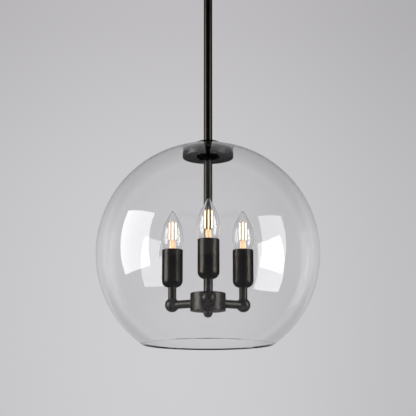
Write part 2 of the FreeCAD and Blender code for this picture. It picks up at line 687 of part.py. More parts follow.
def lampholder(index):
    """The insulating body inside a cup, with a well for the screw shell."""
    y = -ARM_REACH
    top = LAMP_HOLDER_TOP
    foot_r = CUP_R - CUP_CORNER_R
    shoulder = CUP_BOTTOM + CUP_CORNER_R
    body = Outline(0, CUP_FLOOR).line(foot_r, CUP_FLOOR).line(HOLDER_BODY_R, shoulder)
    body.line(HOLDER_BODY_R, top - HOLDER_BODY_EDGE).line(HOLDER_BODY_R - HOLDER_BODY_EDGE, top)
    body.line(0, top)
    shape = body.turned()
    shape.translate(Vector(0, y, 0))
    well = rod(SHELL_R + SHELL_WALL, top - WELL_DEPTH, top + CLEAR, 0, y)
    entry = rod(SPIGOT_R + FIT, CUP_FLOOR - CLEAR, CUP_BOTTOM + SPIGOT_IN_CUP + FIT, 0, y)
    chamber = rod(CHAMBER_R, CUP_FLOOR, top - WELL_DEPTH - WELL_FLOOR, 0, y)
    return on_arm(as_solid(shape.cut([well, entry, chamber])), index)


def screw_shells():
    top = LAMP_HOLDER_TOP
    low = top - WELL_DEPTH + SHELL_LIFT
    shell = tube(SHELL_R + SHELL_WALL, SHELL_R, low, top, 0, -ARM_REACH)
    return [on_arm(shell, n + 1) for n in range(ARM_COUNT)]


def centre_contacts():
    """A strip that presses on the button under each lamp."""
    low = LAMP_HOLDER_TOP - WELL_DEPTH
    top = LAMP_FOOT - CONTACT_GAP
    y = -ARM_REACH
    half = CONTACT_HALF_W
    foot = box((-half, y - CONTACT_FOOT, low), (half, y + half, low + CONTACT_T))
    post = box((-half, y + half - CONTACT_T, low), (half, y + half, top))
    pad = box((-half, y - half, top - CONTACT_T), (half, y + half, top))
    strip = foot.fuse([post, pad]).removeSplitter()
    return [on_arm(strip, n + 1) for n in range(ARM_COUNT)]


def arm_leads():
    """Two wires in each arm, from the hub's connector up to the lamp holder."""
    wires = []
    end_z = CUP_BOTTOM + SPIGOT_IN_CUP + ARM_LEAD_PAST
    for index in range(1, ARM_COUNT + 1):
        for side in (-1, 1):
            x = side * ARM_LEAD_PITCH / 2
            wire = lead((Vector(x, -CONNECTOR_R, ARM_Z), Vector(x, -ARM_REACH, ARM_Z),
                         Vector(x, -ARM_REACH, end_z), ARM_LEAD_BEND_R), ARM_LEAD_R)
            wires.append(on_arm(wire, index))
    return wires


# ================================================================ lamps
def lamp_button(index):
    """The centre contact under a lamp."""
    edge = BUTTON_EDGE_R
    button = Outline(0, LAMP_FOOT).line(BUTTON_R - edge, LAMP_FOOT)
    button.round(BUTTON_R - edge, LAMP_FOOT + edge, BUTTON_R, LAMP_FOOT + edge)
    button.line(BUTTON_R, LAMP_FOOT + BUTTON_T).line(0, LAMP_FOOT + BUTTON_T)
    return placed_lamp(button.turned(), index)


def placed_lamp(shape, index):
    shape.translate(Vector(0, -ARM_REACH, 0))
    return on_arm(shape, index)


def lamp_base(index):
    """Insulator, screw shell with its rolled rings, and the collar that holds the glass."""
    low = LAMP_FOOT + BUTTON_T
    thread_low = low + INSULATOR_T
    collar_low = LAMP_HOLDER_TOP + COLLAR_LIFT
    collar_top = collar_low + COLLAR_H
    collar_in = LAMP_NECK_R + RUNNING_FIT
    collar_out = collar_in + COLLAR_WALL
    base = Outline(0, low).line(BUTTON_R + INSULATOR_LEDGE, low).line(BASE_R - BASE_GROOVE, thread_low)
    rings = int((collar_low - thread_low - BASE_PLAIN) / BASE_PITCH)
    root = BASE_R - BASE_GROOVE
    for k in range(rings):
        z = thread_low + k * BASE_PITCH
        base.arc(BASE_R, z + BASE_PITCH / 2, root, z + BASE_PITCH)
    base.line(root, collar_low).line(collar_out, collar_low).line(collar_out, collar_top)
    base.line(collar_in, collar_top).line(collar_in, LAMP_FOOT + LAMP_SEAT)
    inner = root - BASE_WALL
    floor = thread_low + BASE_FLOOR
    base.line(inner, LAMP_FOOT + LAMP_SEAT).line(inner, floor).line(0, floor)
    return placed_lamp(base.turned(), index)


def candle_curve(skin):
    """The candle's half-section above its neck, drawn skin inside the outer face."""
    reach = LAMP_LENGTH - LAMP_WIDEST
    return [(0.817 * LAMP_R - skin, LAMP_FOOT + LAMP_WIDEST - 0.394 * reach),
            (LAMP_R - skin, LAMP_FOOT + LAMP_WIDEST),
            (0.829 * LAMP_R - skin, LAMP_FOOT + LAMP_WIDEST + 0.405 * reach),
            (0.423 * LAMP_R - 0.9 * skin, LAMP_FOOT + LAMP_WIDEST + 0.749 * reach),
            (0.19 * LAMP_R - 0.7 * skin, LAMP_FOOT + LAMP_WIDEST + 0.94 * reach - 0.6 * skin),
            (0.0, LAMP_FOOT + LAMP_LENGTH - skin)]


def lamp_glass(index):
    low = LAMP_FOOT + LAMP_SEAT
    neck_z = low + COLLAR_H
    glass = Outline(LAMP_NECK_R, low).line(LAMP_NECK_R, neck_z)
    glass.smooth(candle_curve(0.0), (0.15, 1.0), (-1.0, 0.0))
    glass.line(0, LAMP_FOOT + LAMP_LENGTH - LAMP_WALL)
    inner = list(reversed(candle_curve(LAMP_WALL)))[1:] + [(LAMP_NECK_R - LAMP_WALL, neck_z)]
    glass.smooth(inner, (1.0, 0.0), (-0.15, -1.0))
    glass.line(LAMP_NECK_R - LAMP_WALL, low)
    return placed_lamp(glass.turned(), index)


def filament_mount(index):
    """Glass stem, two small stars of wire and the filament rods between them, which stand
    square to X and Y on every arm once the lamp is screwed home."""
    low = LAMP_FOOT + LAMP_SEAT
    flare = LAMP_NECK_R - LAMP_WALL - RUNNING_FIT
    flare_z = low + FLARE_LIFT
    mid = FLARE_H / 2
    top = LAMP_FOOT + STEM_TOP
    stem = Outline(0, flare_z).line(flare, flare_z).line(flare, flare_z + FLARE_T)
    stem.smooth([((flare + 2 * STEM_R) / 3, flare_z + mid), (STEM_R, flare_z + FLARE_H)],
                (-0.6, 1.0), (0.0, 1.0))
    stem.line(STEM_R, top - STEM_EDGE).line(STEM_R - STEM_EDGE, top).line(0, top)
    pieces = [stem.turned()]
    rods_low = top + STAR_T
    rods_high = rods_low + FILAMENT_L
    reach = FILAMENT_RING_R + FILAMENT_R
    for z in (top, rods_high):
        bars = [box((-reach, -STAR_HALF_W, z), (reach, STAR_HALF_W, z + STAR_T)),
                box((-STAR_HALF_W, -reach, z), (STAR_HALF_W, reach, z + STAR_T))]
        pieces.append(bars[0].fuse(bars[1]).removeSplitter())
    for k in range(FILAMENT_COUNT):
        angle = math.radians(360.0 / FILAMENT_COUNT * k)
        pieces.append(rod(FILAMENT_R, rods_low, rods_high,
                          FILAMENT_RING_R * math.cos(angle), FILAMENT_RING_R * math.sin(angle)))
    for piece in pieces:
        piece.rotate(ORIGIN, UP, -TURN * (index - 1))
    return [placed_lamp(piece, index) for piece in pieces]


# ================================================================ the whole light
SINGLE_PIECES = [ceiling_plate, ground_screw, canopy_studs, stud_locknuts, canopy, canopy_nuts,
                 terminal_block, canopy_leads, swivel_yoke, yoke_washer, yoke_locknut,
                 pivot_screws, swivel_tongue, upper_rod, rod_nipple, glass_cap, cap_gasket,
                 glass_shade, holder_gasket, glass_holder, lower_rod, supply_leads, hub_shell,
                 hub_nipple, hub_locknut, cover_strap, hub_connector, hub_cover, hub_finial,
                 arm_locknuts, arm_leads, screw_shells, centre_contacts]
ARM_PIECES = [arm_tube, elbow_ball, riser_tube, socket_cup, lampholder,
              lamp_button, lamp_base, lamp_glass, filament_mount]


def all_pieces():
    """Every node's name with its solids."""
    nodes = {make.__name__: make() for make in SINGLE_PIECES}
    for make in ARM_PIECES:
        for index in range(1, ARM_COUNT + 1):
            nodes[f"{make.__name__}_{index}"] = make(index)
    return nodes


def main():
    os.makedirs("parts", exist_ok=True)
    for name, made in all_pieces().items():
        shape = Part.makeCompound(made) if isinstance(made, list) else made
        if not shape.isValid():
            raise ValueError(f"{name} is not a valid shape")
        shape.exportStep(f"parts/{name}.step")


if __name__ == "__main__":
    main()
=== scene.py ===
"""Looks for a rod-hung pendant light: a blown clear globe over three candle lamps."""

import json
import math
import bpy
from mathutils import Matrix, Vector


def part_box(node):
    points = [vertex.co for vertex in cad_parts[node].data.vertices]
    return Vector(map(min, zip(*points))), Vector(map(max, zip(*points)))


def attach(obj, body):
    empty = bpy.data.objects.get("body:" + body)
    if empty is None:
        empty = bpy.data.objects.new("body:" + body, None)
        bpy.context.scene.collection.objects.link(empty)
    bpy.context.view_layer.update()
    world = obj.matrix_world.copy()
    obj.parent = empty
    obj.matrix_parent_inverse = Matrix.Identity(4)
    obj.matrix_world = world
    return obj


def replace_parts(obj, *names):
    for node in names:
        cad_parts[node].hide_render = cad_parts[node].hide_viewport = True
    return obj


bl_info = {
    "name": "Globe Pendant Light",
    "version": (1, 0, 0),
    "blender": (4, 5, 0),
    "location": "View3D > Sidebar > Pendant",
    "description": "Builds the glass, lamps, metal finishes and studio of a globe pendant light",
    "category": "Add Mesh",
}

import bmesh
import bpy
from bpy.props import (
    FloatProperty,
    IntProperty,
    PointerProperty,
    StringProperty,
)
from mathutils import Vector

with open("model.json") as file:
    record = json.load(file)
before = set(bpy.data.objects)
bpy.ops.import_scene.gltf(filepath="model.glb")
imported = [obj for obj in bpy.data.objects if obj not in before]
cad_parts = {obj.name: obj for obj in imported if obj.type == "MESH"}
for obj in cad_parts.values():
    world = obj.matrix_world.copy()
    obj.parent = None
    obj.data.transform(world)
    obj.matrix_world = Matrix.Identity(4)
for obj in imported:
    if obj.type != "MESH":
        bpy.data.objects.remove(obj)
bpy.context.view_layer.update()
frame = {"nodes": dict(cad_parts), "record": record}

MM = 0.001
ARMS = sum(name.startswith("socket_cup_") for name in frame["nodes"])
AZIMUTH_OF_VIEW = -0.7          # the camera's turn about the light, in degrees

# Steps round each kind of piece, and along the stretches of an outline.
ROUND = 96
GLOBE_ROUND = 224
BULB_ROUND = 80
BASE_ROUND = 72
STEM_ROUND = 40
ROD_ROUND = 20
THREAD_ROUND = 10
THREAD_STEPS = 40
CORNER_STEPS = 5
CROWN_STEPS = 72                # the globe's upper half
BELLY_STEPS = 44                # the globe's lower half
RIM_STEPS = 10
FOOT_STEPS, FOOT_IN_STEPS = 14, 12
LIP_STEPS = 8
BULB_STEPS = 9                  # between two points of a bulb's line

SAME_POINT = 1e-7               # metres: points closer than this are one
TURNED_EDGE = 35.0              # degrees: steeper edges of a turned piece stay crisp
DRAWN_EDGE = 40.0               # the same for wires, stems and what the trees build
HOLE_FLARE = 0.1 * MM           # how much wider the globe's hole is on the inside
NECK_H = 4 * MM                 # straight neck of a bulb

# A bulb's line from below its widest part to near its tip: share of the radius, share of the
# wall that the inside stands in, and height as a share of the reach from widest part to tip.
BULB_LINE = ((0.817, 1.0, -0.394), (0.97, 1.0, -0.17), (1.0, 1.0, 0.0),
             (0.829, 1.0, 0.405), (0.423, 0.9, 0.749), (0.16, 0.6, 0.94))
TIP_WALLS = 2                   # the tip is this many walls thick

# The pressed stem. Its foot: height and half widths in millimetres. Its waist: height in
# millimetres and how much deeper than the pinch. Its top: millimetres below the top, and shares
# of the pinch's width and depth.
STEM_FOOT = ((0, 6.9, 6.9), (1, 6.9, 6.9), (4, 5.6, 5.2), (8, 4.7, 4.0))
STEM_WAIST = (13, 1.3)
STEM_TOP = ((4, 1, 1), (1.4, 0.92, 0.9), (0.4, 0.7, 0.6), (0, 0.4, 0.3))

# The filaments under a bulb's tip, and the wires that carry them: shares of the ring's radius,
# and lengths.
RODS_DROP = 1.2 * MM            # from the mount's top to the rods' top
RODS_RISE = 1.5 * MM            # from the stem's top to the rods' foot
ROOT_SHARE, BEND_SHARE, CROWN_SHARE = 0.35, 0.45, 0.5
ROOT_DEPTH = 5 * MM             # how far a lead wire is fused into the stem
BEND_H = 0.4 * MM
WIRE_LAP = 0.6 * MM             # how far a wire runs up or down inside a rod
CROWN_H, HUB_H = 1.1 * MM, 1.4 * MM

# The screw base of a lamp.
COLLAR_FOOT_CORNER, COLLAR_TOP_CORNER = 0.4 * MM, 0.25 * MM
COLLAR_WALL, COLLAR_FLOOR = 0.55 * MM, 0.6 * MM
THREAD_SPARE = 3.4 * MM         # shell left without a thread, in all
THREAD_FOOT = 1.4 * MM          # and below its start
CONE_FOOT_R, CONE_EDGE_R, CONE_EDGE_H = 3.1 * MM, 3.5 * MM, 0.3 * MM
CONE_INSET = 0.4 * MM

# Softboxes: name, degrees to the camera's left and above the level, distance and size in
# metres, the setting of their power, and whether gloss shows them.
SOFTBOXES = (("softbox_left", 77, 8, 2.1, (1.36, 1.75), "left_power", True),
             ("softbox_right", -66, 5, 2.1, (1.06, 1.7), "right_power", True),
             ("softbox_top", 20, 72, 2.0, (1.0, 1.0), "top_power", False))
# Where the backdrop's runs of tone begin and end, as parts of the view's direction.
REACH_UP, REACH_ACROSS, REACH_WHOLE = (-0.3, 0.7), (-0.4, 0.4), (-1.0, 1.0)
FLOOR_HALF = 12.0               # metres
SENSOR_MM = 36.0
FAR_CLIP = 60.0


# ------------------------------------------------------------------ settings
class GlobeSettings(bpy.types.PropertyGroup):
    wall: FloatProperty(name="Wall", description="Thickness of the globe's glass",
                        default=2.5 * MM, min=0.5 * MM, unit="LENGTH")
    mouth: FloatProperty(name="Mouth radius", description="Radius of the rim, outside",
                         default=104 * MM, unit="LENGTH")
    hole: FloatProperty(name="Hole radius", description="Radius of the hole in the crown",
                        default=17 * MM, unit="LENGTH")
    waist: FloatProperty(name="Waist", description="Height of the straight band",
                         default=2.1 * MM, unit="LENGTH")
    draw_in: FloatProperty(name="Draw in", description="Offset of the lower arc from the axis",
                           default=4.5 * MM, unit="LENGTH")
    ripple: FloatProperty(name="Ripple", description="Depth of the waves that blowing leaves",
                          default=0.04 * MM, unit="LENGTH")
    smoke: FloatProperty(name="Smoke", description="How fast the glass darkens light, per metre",
                         default=9.0, min=0.0)
    tint: StringProperty(name="Tint", description="Colour of thick glass, as sRGB hex",
                         default="#f4f6f7")


class LampSettings(bpy.types.PropertyGroup):
    wall: FloatProperty(name="Wall", description="Thickness of a lamp's glass",
                        default=0.8 * MM, unit="LENGTH")
    filaments: IntProperty(name="Filaments", description="Filament rods in a lamp", default=4)
    filament_radius: FloatProperty(name="Filament radius", description="Radius over the phosphor",
                                   default=0.75 * MM, unit="LENGTH")
    ring_radius: FloatProperty(name="Ring radius", description="Filaments' distance from the axis",
                               default=5.2 * MM, unit="LENGTH")
    filament_length: FloatProperty(name="Filament length", description="Lit length of a filament",
                                   default=27.5 * MM, unit="LENGTH")
    glow: FloatProperty(name="Glow", description="Brightness of the lit phosphor", default=2.6)
    glow_colour: StringProperty(name="Glow colour", description="Colour of the light, as sRGB hex",
                                default="#ffd9a0")
    pitch: FloatProperty(name="Thread pitch", description="Pitch of the lamp's screw",
                         default=2.82 * MM, unit="LENGTH")


class MetalSettings(bpy.types.PropertyGroup):
    bronze_dark: StringProperty(name="Bronze, dark", description="Darker tone of the finish",
                                default="#292725")
    bronze_light: StringProperty(name="Bronze, light", description="Lighter tone of the finish",
                                 default="#322f2c")
    bronze_roughness: FloatProperty(name="Bronze roughness", description="How dull the finish is",
                                    default=0.30, min=0.0, max=1.0)


class StageSettings(bpy.types.PropertyGroup):
    tones_up: StringProperty(name="Backdrop, low to high",
                             description="Place and colour pairs from below the horizon up",
                             default="0.0:#cecdd0 0.33:#d4d3d6 0.5:#d4d3d6 "
                                     "0.65:#c4c2c5 1.0:#aeacb0")
    tones_across: StringProperty(name="Backdrop, left to right",
                                 description="Place and grey pairs, multiplied in",
                                 default="0.0:#dedede 0.3:#f2f2f2 0.5:#ffffff "
                                         "0.7:#e9e9e9 1.0:#d4d4d4")
    floor: StringProperty(name="Floor", description="Colour of the studio floor",
                          default="#e4e3e5")
    floor_drop: FloatProperty(name="Floor level", description="Floor's distance below the ceiling",
                              default=2.4, unit="LENGTH")
    left_power: FloatProperty(name="Left softbox", description="Power in watts", default=56.0)
    right_power: FloatProperty(name="Right softbox", description="Power in watts", default=31.0)
    top_power: FloatProperty(name="Overhead softbox", description="Power in watts", default=14.0)
    tones_mirrored: StringProperty(name="Mirrored room, front to back",
                                   description="Place and colour pairs that gloss reflects",
                                   default="0.0:#383739 0.45:#464547 0.72:#b4b3b6 0.79:#ffffff "
                                           "0.83:#ffffff 0.87:#c0bfc2 1.0:#d4d3d6")
    tones_depth: StringProperty(name="Paper, front to back",
                                description="Place and grey pairs, multiplied in",
                                default="0.0:#dcdcdc 0.5:#c8c8c8 0.75:#ffffff 1.0:#ffffff")
    tones_mirrored_up: StringProperty(name="Mirrored room, floor to ceiling",
                                      description="Place and grey pairs, multiplied in",
                                      default="0.0:#dedede 0.5:#ffffff 0.64:#ffffff "
                                              "0.78:#505050 1.0:#404040")
    distance: FloatProperty(name="Camera distance", description="From the light's axis, level",
                            default=1.834, unit="LENGTH")
    drop: FloatProperty(name="Camera drop", description="Below the globe's middle",
                        default=0.3018, unit="LENGTH")
    pitch: FloatProperty(name="Camera pitch", description="How far the camera looks up, degrees",
                         default=11.63)
    lens: FloatProperty(name="Lens", description="Focal length in millimetres", default=101.1)


class PendantSettings(bpy.types.PropertyGroup):
    globe: PointerProperty(type=GlobeSettings)
    lamp: PointerProperty(type=LampSettings)
    metal: PointerProperty(type=MetalSettings)
    stage: PointerProperty(type=StageSettings)


def settings():
    return bpy.context.scene.globe_pendant


# ------------------------------------------------------------------ places from the frame
def node_place(name):
    """A node's axis, half width and levels, read from its box."""
    low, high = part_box(name)
    middle = (low + high) / 2
    return Vector((middle.x, middle.y, 0)), (high.x - low.x) / 2, low.z, high.z


def globe_middle():
    """Height of the foot of the globe's waist."""
    _, radius, _, top = node_place("glass_shade")
    globe = settings().globe
    return top - math.sqrt(radius ** 2 - globe.hole ** 2) - globe.waist


# ------------------------------------------------------------------ outlines
def arc(centre_r, centre_z, radius, start, end, steps):
    """Points of a round stretch of an outline, angles in degrees from the outward level."""
    angles = (math.radians(start + (end - start) * k / steps) for k in range(steps + 1))
    return [(centre_r + radius * math.cos(a), centre_z + radius * math.sin(a)) for a in angles]


def smooth_line(points, steps):
    """A smooth line through the points, by cubic pieces whose slopes follow the neighbours."""
    line = []
    for k in range(len(points) - 1):
        before = points[max(k - 1, 0)]
        here, there = points[k], points[k + 1]
        after = points[min(k + 2, len(points) - 1)]
        for s in range(steps):
            t = s / steps
            line.append(tuple(
                0.5 * (2 * b + (c - a) * t + (2 * a - 5 * b + 4 * c - d) * t ** 2
                       + (3 * b - a - 3 * c + d) * t ** 3)
                for a, b, c, d in zip(before, here, there, after)))
    return line + [points[-1]]


def corner(r, z, size, start):
    """A rounded outer corner whose quarter turn starts at an angle."""
    signs = {0: (-1, -1), 90: (1, -1), 180: (1, 1), 270: (-1, 1)}[start % 360]
    return arc(r + signs[0] * size, z + signs[1] * size, size, start, start + 90,
               CORNER_STEPS)


# ------------------------------------------------------------------ meshes
def finish_mesh(name, bm, sharp=TURNED_EDGE):
    """Cleans a mesh, turns its faces outwards and puts it in the scene."""
    bmesh.ops.remove_doubles(bm, verts=bm.verts, dist=SAME_POINT)
    bmesh.ops.recalc_face_normals(bm, faces=bm.faces)
    mesh = bpy.data.meshes.new(name)
    bm.to_mesh(mesh)
    bm.free()
    for face in mesh.polygons:
        face.use_smooth = True
    mesh.set_sharp_from_angle(angle=math.radians(sharp))
    obj = bpy.data.objects.new(name, mesh)
    bpy.context.scene.collection.objects.link(obj)
    return obj


def lathe(name, outline, centre, steps=ROUND):
    """Turns a closed outline of (radius, height) points round an upright axis."""
    bm = bmesh.new()
    rings = []
    for r, z in outline:
        if r < SAME_POINT:
            rings.append([bm.verts.new((centre.x, centre.y, z))] * steps)
        else:
            angles = (2 * math.pi * k / steps for k in range(steps))
            rings.append([bm.verts.new((centre.x + r * math.cos(a), centre.y + r * math.sin(a), z))
                          for a in angles])
    for ring, following in zip(rings, rings[1:] + rings[:1]):
        for k in range(steps):
            n = (k + 1) % steps
            corners = [ring[k], ring[n], following[n], following[k]]
            unique = list(dict.fromkeys(corners))
            if len(unique) > 2:
                bm.faces.new(unique)
    return finish_mesh(name, bm)


def loft(name, levels, centre):
    """A closed piece through flat oval sections: (height, half width X, half width Y)."""
    bm = bmesh.new()
    rings = [[bm.verts.new((centre.x + a * math.cos(2 * math.pi * k / STEM_ROUND),
                            centre.y + b * math.sin(2 * math.pi * k / STEM_ROUND), z))
              for k in range(STEM_ROUND)] for z, a, b in levels]
    for ring, following in zip(rings, rings[1:]):
        for k in range(STEM_ROUND):
            n = (k + 1) % STEM_ROUND
            bm.faces.new((ring[k], ring[n], following[n], following[k]))
    bm.faces.new(rings[0])
    bm.faces.new(rings[-1])
    return finish_mesh(name, bm, DRAWN_EDGE)


def wire_piece(name, paths, radius):
    """Round wires through lists of points, as one mesh."""
    curve = bpy.data.curves.new(name, "CURVE")
    curve.dimensions = "3D"
    curve.bevel_depth = radius
    curve.bevel_resolution = 3
    curve.use_fill_caps = True
    for points in paths:
        spline = curve.splines.new("POLY")
        spline.points.add(len(points) - 1)
        for point, place in zip(spline.points, points):
            point.co = (*place, 1.0)
    return plain_mesh(name, bpy.data.objects.new(name, curve))


def plain_mesh(name, source):
    """Turns a curve, or an object with modifiers, into an object with a mesh of its own."""
    bpy.context.scene.collection.objects.link(source)
    depsgraph = bpy.context.evaluated_depsgraph_get()
    mesh = bpy.data.meshes.new_from_object(source.evaluated_get(depsgraph))
    data = source.data
    bpy.data.objects.remove(source)
    (bpy.data.curves if isinstance(data, bpy.types.Curve) else bpy.data.meshes).remove(data)
    mesh.name = name
    for face in mesh.polygons:
        face.use_smooth = True
    mesh.set_sharp_from_angle(angle=math.radians(DRAWN_EDGE))
    obj = bpy.data.objects.new(name, mesh)
    bpy.context.scene.collection.objects.link(obj)
    return obj


def joined(name, *parts):
    """One object from several, keeping each part's material."""
    bpy.ops.object.select_all(action="DESELECT")
    for part in parts:
        part.select_set(True)
    bpy.context.view_layer.objects.active = parts[0]
    bpy.ops.object.join()
    parts[0].name = parts[0].data.name = name
    return parts[0]


def hand_over(obj, material, body, slot, *nodes):
    """Gives a piece its finish and its body, and hides the nodes it stands for. The slot is not
    used.
    """
    if material is not None:
        obj.data.materials.clear()
        obj.data.materials.append(material)
    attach(obj, body)
    if nodes:
        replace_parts(obj, *nodes)
    return obj


# ------------------------------------------------------------------ geometry node trees
def new_tree(name, inputs):
    """A modifier tree with named inputs, each of a socket kind."""
    tree = bpy.data.node_groups.new(name, "GeometryNodeTree")
    tree.interface.new_socket("Geometry", in_out="OUTPUT", socket_type="NodeSocketGeometry")
    for label, kind in inputs.items():
        tree.interface.new_socket(label, in_out="INPUT", socket_type=f"NodeSocket{kind}")
    start = tree.nodes.new("NodeGroupInput")
    end = tree.nodes.new("NodeGroupOutput")
    return tree, start, end


def run_tree(name, tree, values):
    """Runs a tree on an empty mesh and returns its result as a plain mesh object."""
    host = bpy.data.objects.new(name, bpy.data.meshes.new(name))
    modifier = host.modifiers.new("build", "NODES")
    modifier.node_group = tree
    for item in tree.interface.items_tree:
        if item.item_type == "SOCKET" and item.in_out == "INPUT" and item.name in values:
            modifier[item.identifier] = values[item.name]
    return plain_mesh(name, host)


def filament_tree():
    """Upright rods set round a ring."""
    tree, start, end = new_tree("filament_ring", {
        "Count": "Int", "Ring Radius": "Float", "Rod Radius": "Float", "Rod Length": "Float",
        "Centre": "Vector", "Phosphor": "Material"})
    ring = put(tree, "GeometryNodeMeshCircle", {"Vertices": start.outputs["Count"],
                                                "Radius": start.outputs["Ring Radius"]})
    rod = put(tree, "GeometryNodeMeshCylinder", {"Vertices": ROD_ROUND,
                                                 "Radius": start.outputs["Rod Radius"],
                                                 "Depth": start.outputs["Rod Length"]})
    spread = put(tree, "GeometryNodeInstanceOnPoints", {"Points": ring.outputs["Mesh"],
                                                        "Instance": rod.outputs["Mesh"]})
    whole = put(tree, "GeometryNodeRealizeInstances", {"Geometry": spread.outputs["Instances"]})
    place = put(tree, "GeometryNodeTransform", {"Geometry": whole.outputs["Geometry"],
                                                "Translation": start.outputs["Centre"]})
    finish = put(tree, "GeometryNodeSetMaterial", {"Geometry": place.outputs["Geometry"],
                                                   "Material": start.outputs["Phosphor"]})
    tree.links.new(finish.outputs["Geometry"], end.inputs["Geometry"])
    return tree


def thread_tree():
    """A round ridge that climbs a screw, as a helix."""
    tree, start, end = new_tree("screw_thread", {
        "Turns": "Float", "Radius": "Float", "Height": "Float", "Ridge": "Float",
        "Foot": "Vector", "Metal": "Material"})
    helix = put(tree, "GeometryNodeCurveSpiral", {"Resolution": THREAD_STEPS,
                                                  "Rotations": start.outputs["Turns"],
                                                  "Start Radius": start.outputs["Radius"],
                                                  "End Radius": start.outputs["Radius"],
                                                  "Height": start.outputs["Height"]})
    section = put(tree, "GeometryNodeCurvePrimitiveCircle", {"Resolution": THREAD_ROUND,
                                                             "Radius": start.outputs["Ridge"]})
    ridge = put(tree, "GeometryNodeCurveToMesh", {"Curve": helix.outputs["Curve"],
                                                  "Profile Curve": section.outputs["Curve"],
                                                  "Fill Caps": True})
    place = put(tree, "GeometryNodeTransform", {"Geometry": ridge.outputs["Mesh"],
                                                "Translation": start.outputs["Foot"]})
    finish = put(tree, "GeometryNodeSetMaterial", {"Geometry": place.outputs["Geometry"],
                                                   "Material": start.outputs["Metal"]})
    tree.links.new(finish.outputs["Geometry"], end.inputs["Geometry"])
    return tree


# ------------------------------------------------------------------ materials
def linear(hex_colour):
    """An sRGB hex colour as linear red, green, blue and alpha."""
    parts = [int(hex_colour[k:k + 2], 16) / 255 for k in (1, 3, 5)]
    return tuple(p / 12.92 if p <= 0.04045 else ((p + 0.055) / 1.055) ** 2.4
                 for p in parts) + (1.0,)


def put(tree, kind, inputs=None, **options):
    """Adds a node: options are its own settings, inputs are values or sockets to link from."""
    node = tree.nodes.new(kind)
    for name, value in options.items():
        setattr(node, name, value)
    for name, value in (inputs or {}).items():
        if isinstance(value, bpy.types.NodeSocket):
            tree.links.new(value, node.inputs[name])
        else:
            node.inputs[name].default_value = value
    return node


def per_mm(size):
    """Noise scale, on coordinates in metres, for a pattern of this size in millimetres."""
    return 1.0 / (size * MM)


def new_material(name, principled):
    """A material with a Principled shader, its output and Object coordinates."""
    material = bpy.data.materials.new(name)
    material.use_nodes = True
    tree = material.node_tree
    tree.nodes.clear()
    shader = put(tree, "ShaderNodeBsdfPrincipled", principled)
    put(tree, "ShaderNodeOutputMaterial", {"Surface": shader.outputs["BSDF"]})
    place = put(tree, "ShaderNodeTexCoord").outputs["Object"]
    return material, tree, shader, place


def lets_light_by(tree, shader):
    """Makes glass refract what is seen through it, and let every other ray pass straight. It
    goes by the kind of ray: camera and transmission rays, and mirrored ones on their way out."""
    path = put(tree, "ShaderNodeLightPath").outputs
    inside = put(tree, "ShaderNodeNewGeometry").outputs["Backfacing"]
    fresh = put(tree, "ShaderNodeMath", {0: path["Transparent Depth"], 1: 0.5},
                operation="LESS_THAN").outputs["Value"]
    leaving = put(tree, "ShaderNodeMath", {0: inside, 1: fresh}, operation="MULTIPLY")
    leaving = put(tree, "ShaderNodeMath", {0: leaving.outputs["Value"],
                                           1: path["Is Glossy Ray"]}, operation="MULTIPLY")
    seen = put(tree, "ShaderNodeMath", {0: path["Is Camera Ray"],
                                        1: path["Is Transmission Ray"]}, operation="MAXIMUM")
    seen = put(tree, "ShaderNodeMath", {0: seen.outputs["Value"],
                                        1: leaving.outputs["Value"]}, operation="MAXIMUM")
    clear = put(tree, "ShaderNodeBsdfTransparent")
    mix = put(tree, "ShaderNodeMixShader", {0: seen.outputs["Value"], 1: clear.outputs["BSDF"],
                                            2: shader.outputs["BSDF"]})
    tree.links.new(mix.outputs["Shader"], tree.nodes["Material Output"].inputs["Surface"])


def noise(tree, place, size, detail=3.0):
    """A noise pattern of this size in millimetres."""
    texture = put(tree, "ShaderNodeTexNoise", {"Vector": place, "Scale": per_mm(size),
                                               "Detail": detail, "Roughness": 0.55})
    return texture.outputs["Fac"]


def colour_mix(tree, factor, dark, light):
    """A tone between two sRGB hex colours."""
    mix = put(tree, "ShaderNodeMix", data_type="RGBA")
    tree.links.new(factor, mix.inputs[0])
    mix.inputs[6].default_value = linear(dark)
    mix.inputs[7].default_value = linear(light)
    return mix.outputs[2]


def rough_range(tree, factor, low, high):
    """A roughness that runs with the middle of a noise pattern."""
    spread = put(tree, "ShaderNodeMapRange", {"Value": factor, "From Min": 0.3, "From Max": 0.7,
                                              "To Min": low, "To Max": high})
    return spread.outputs["Result"]


def bumped(tree, shader, height, depth):
    """Wires a height pattern to a shader's normal; depth is in metres."""
    bump = put(tree, "ShaderNodeBump", {"Height": height, "Strength": 1.0, "Distance": depth})
    tree.links.new(bump.outputs["Normal"], shader.inputs["Normal"])


def bronze_lacquer():
    """Oil-rubbed bronze: nearly black and satin with a warm brown drift, edges darker than a
    bare metal's, and a faint orange peel. It is shaded as a metal with a dark edge tint."""
    metal = settings().metal
    material, tree, shader, place = new_material("bronze_lacquer", {
        "Metallic": 1.0, "Specular Tint": (0.2, 0.19, 0.18, 1.0)})
    drift = noise(tree, place, 14.0)
    peel = noise(tree, place, 0.9, detail=2.0)
    tone = colour_mix(tree, drift, metal.bronze_dark, metal.bronze_light)
    tree.links.new(tone, shader.inputs["Base Color"])
    gloss = rough_range(tree, drift, metal.bronze_roughness - 0.03, metal.bronze_roughness + 0.04)
    tree.links.new(gloss, shader.inputs["Roughness"])
    bumped(tree, shader, peel, 0.001 * MM)
    return material


